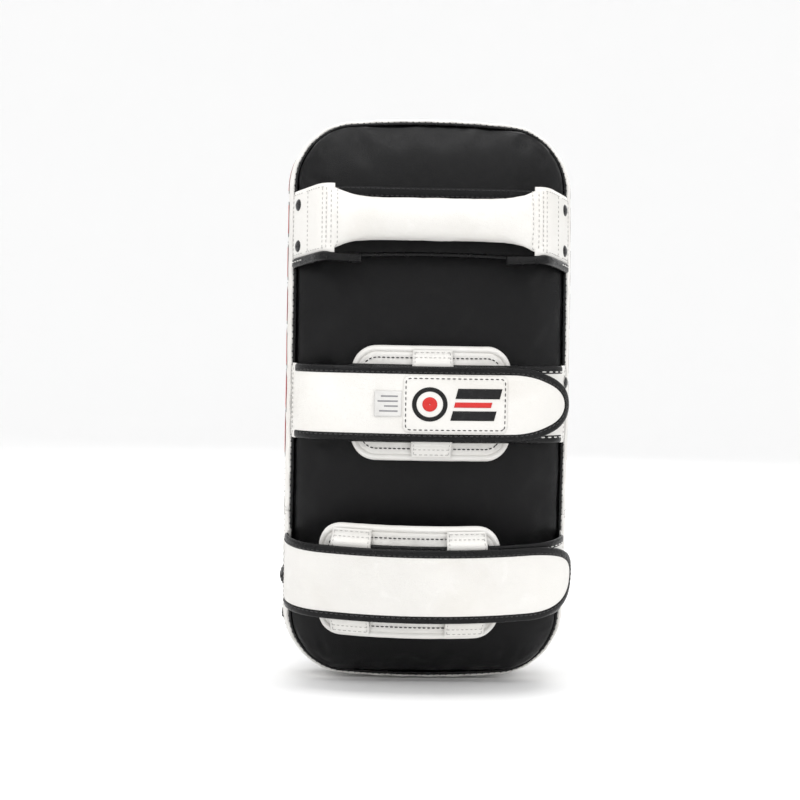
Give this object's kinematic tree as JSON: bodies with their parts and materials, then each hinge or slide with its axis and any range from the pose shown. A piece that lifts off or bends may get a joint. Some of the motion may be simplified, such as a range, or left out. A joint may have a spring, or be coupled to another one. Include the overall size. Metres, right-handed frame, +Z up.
{
  "type": "thai pad",
  "caption": "Curved kick and strike pad with a laced cover, a padded grip and two hook-and-loop forearm straps with sliding cushions",
  "frame": {"origin": "on the floor plane under the centre of the pad's box, with the pad standing on its laced end", "axes": "+Z up the length of the pad, +Y the way the strike face looks, +X toward the free tips of the straps"},
  "size_m": [0.2056, 0.1492, 0.4002],
  "materials": {
    "black_leather": "satin",
    "white_leather": "satin",
    "black_binding": "satin",
    "lace_cord": "matte",
    "tongue_cloth": "matte",
    "foam": "matte",
    "rivet_black": "gloss",
    "hook_tape": "matte",
    "loop_tape": "matte",
    "label_cloth": "matte"
  },
  "bodies": {
    "pad": {"back_cover": "black_leather", "foam_back_layer": "foam", "foam_core": "foam", "foam_strike_layer": "foam", "grip_rivet_left_lower": "rivet_black", "grip_rivet_left_upper": "rivet_black", "grip_rivet_right_lower": "rivet_black", "grip_rivet_right_upper": "rivet_black", "grip_root_binding_left": "black_binding", "grip_root_binding_right": "black_binding", "grip_root_left": "white_leather", "grip_root_right": "white_leather", "gusset_lower": "white_leather", "gusset_upper": "white_leather", "lace": "lace_cord", "lacing_tongue": "tongue_cloth", "lower_inner_root": "white_leather", "lower_strap_root": "white_leather", "middle_inner_root": "white_leather", "middle_strap_rivet": "rivet_black", "middle_strap_root": "white_leather", "strike_cover": "black_leather"},
    "grip": {"grip_tab_left": "white_leather", "grip_tab_right": "white_leather", "grip_cover": "white_leather", "grip_core": "foam", "grip_backing": "black_leather", "grip_binding": "black_binding"},
    "middle_outer": {"middle_strap": "white_leather", "middle_strap_binding": "black_binding", "middle_hook_tape": "hook_tape", "strap_patch": "white_leather"},
    "label_flap": {"care_label": "label_cloth"},
    "middle_inner": {"middle_inner_strap": "white_leather", "middle_inner_binding": "black_binding", "middle_loop_tape": "loop_tape"},
    "middle_cushion": {"middle_forearm_pad": "white_leather", "middle_pad_rim": "white_leather", "middle_keeper": "white_leather"},
    "lower_outer": {"lower_strap": "white_leather", "lower_strap_binding": "black_binding", "lower_hook_tape": "hook_tape"},
    "lower_inner": {"lower_inner_strap": "white_leather", "lower_inner_binding": "black_binding", "lower_loop_tape": "loop_tape"},
    "lower_cushion": {"lower_forearm_pad": "white_leather", "lower_pad_rim": "white_leather", "lower_keeper_left": "white_leather", "lower_keeper_right": "white_leather"}
  },
  "joints": [
    {"name": "grip_swing", "type": "hinge", "parent": "pad", "child": "grip", "pos_m": [0, -0.02889, 0.324], "axis": [1, 0, 0], "range_deg": [-15, 15]},
    {"name": "care_label_flap", "type": "hinge", "parent": "middle_outer", "child": "label_flap", "pos_m": [-0.02137, -0.06059, 0.2], "axis": [0, 0, 1], "range_deg": [0, 100]},
    {"name": "middle_strap_open", "type": "hinge", "parent": "pad", "child": "middle_outer", "pos_m": [-0.094, -0.0273, 0.2], "axis": [0, 0, -1], "range_deg": [0, 120]},
    {"name": "middle_inner_lift", "type": "hinge", "parent": "pad", "child": "middle_inner", "pos_m": [0.09294, -0.02703, 0.2], "axis": [0, 0, 1], "range_deg": [0, 28.8]},
    {"name": "middle_cushion_slide", "type": "hinge", "parent": "middle_inner", "child": "middle_cushion", "pos_m": [0, 0.1762, 0.2], "axis": [0, 0, 1], "range_deg": [-2, 2]},
    {"name": "lower_strap_open", "type": "hinge", "parent": "pad", "child": "lower_outer", "pos_m": [-0.09837, -0.01973, 0.08139], "axis": [0, 0.1243, -0.9922], "range_deg": [0, 120]},
    {"name": "lower_inner_lift", "type": "hinge", "parent": "pad", "child": "lower_inner", "pos_m": [0.09565, -0.02007, 0.08135], "axis": [0, -0.1243, 0.9922], "range_deg": [0, 28.8]},
    {"name": "lower_cushion_slide", "type": "hinge", "parent": "lower_inner", "child": "lower_cushion", "pos_m": [0, 0.13985, 0.10138], "axis": [0, -0.1243, 0.9922], "range_deg": [-0.5, 4.2]}
  ],
  "couplings": [
    {"joint": "middle_inner_lift", "follows": "middle_strap_open", "ratio": 0.24},
    {"joint": "lower_inner_lift", "follows": "lower_strap_open", "ratio": 0.24}
  ]
}
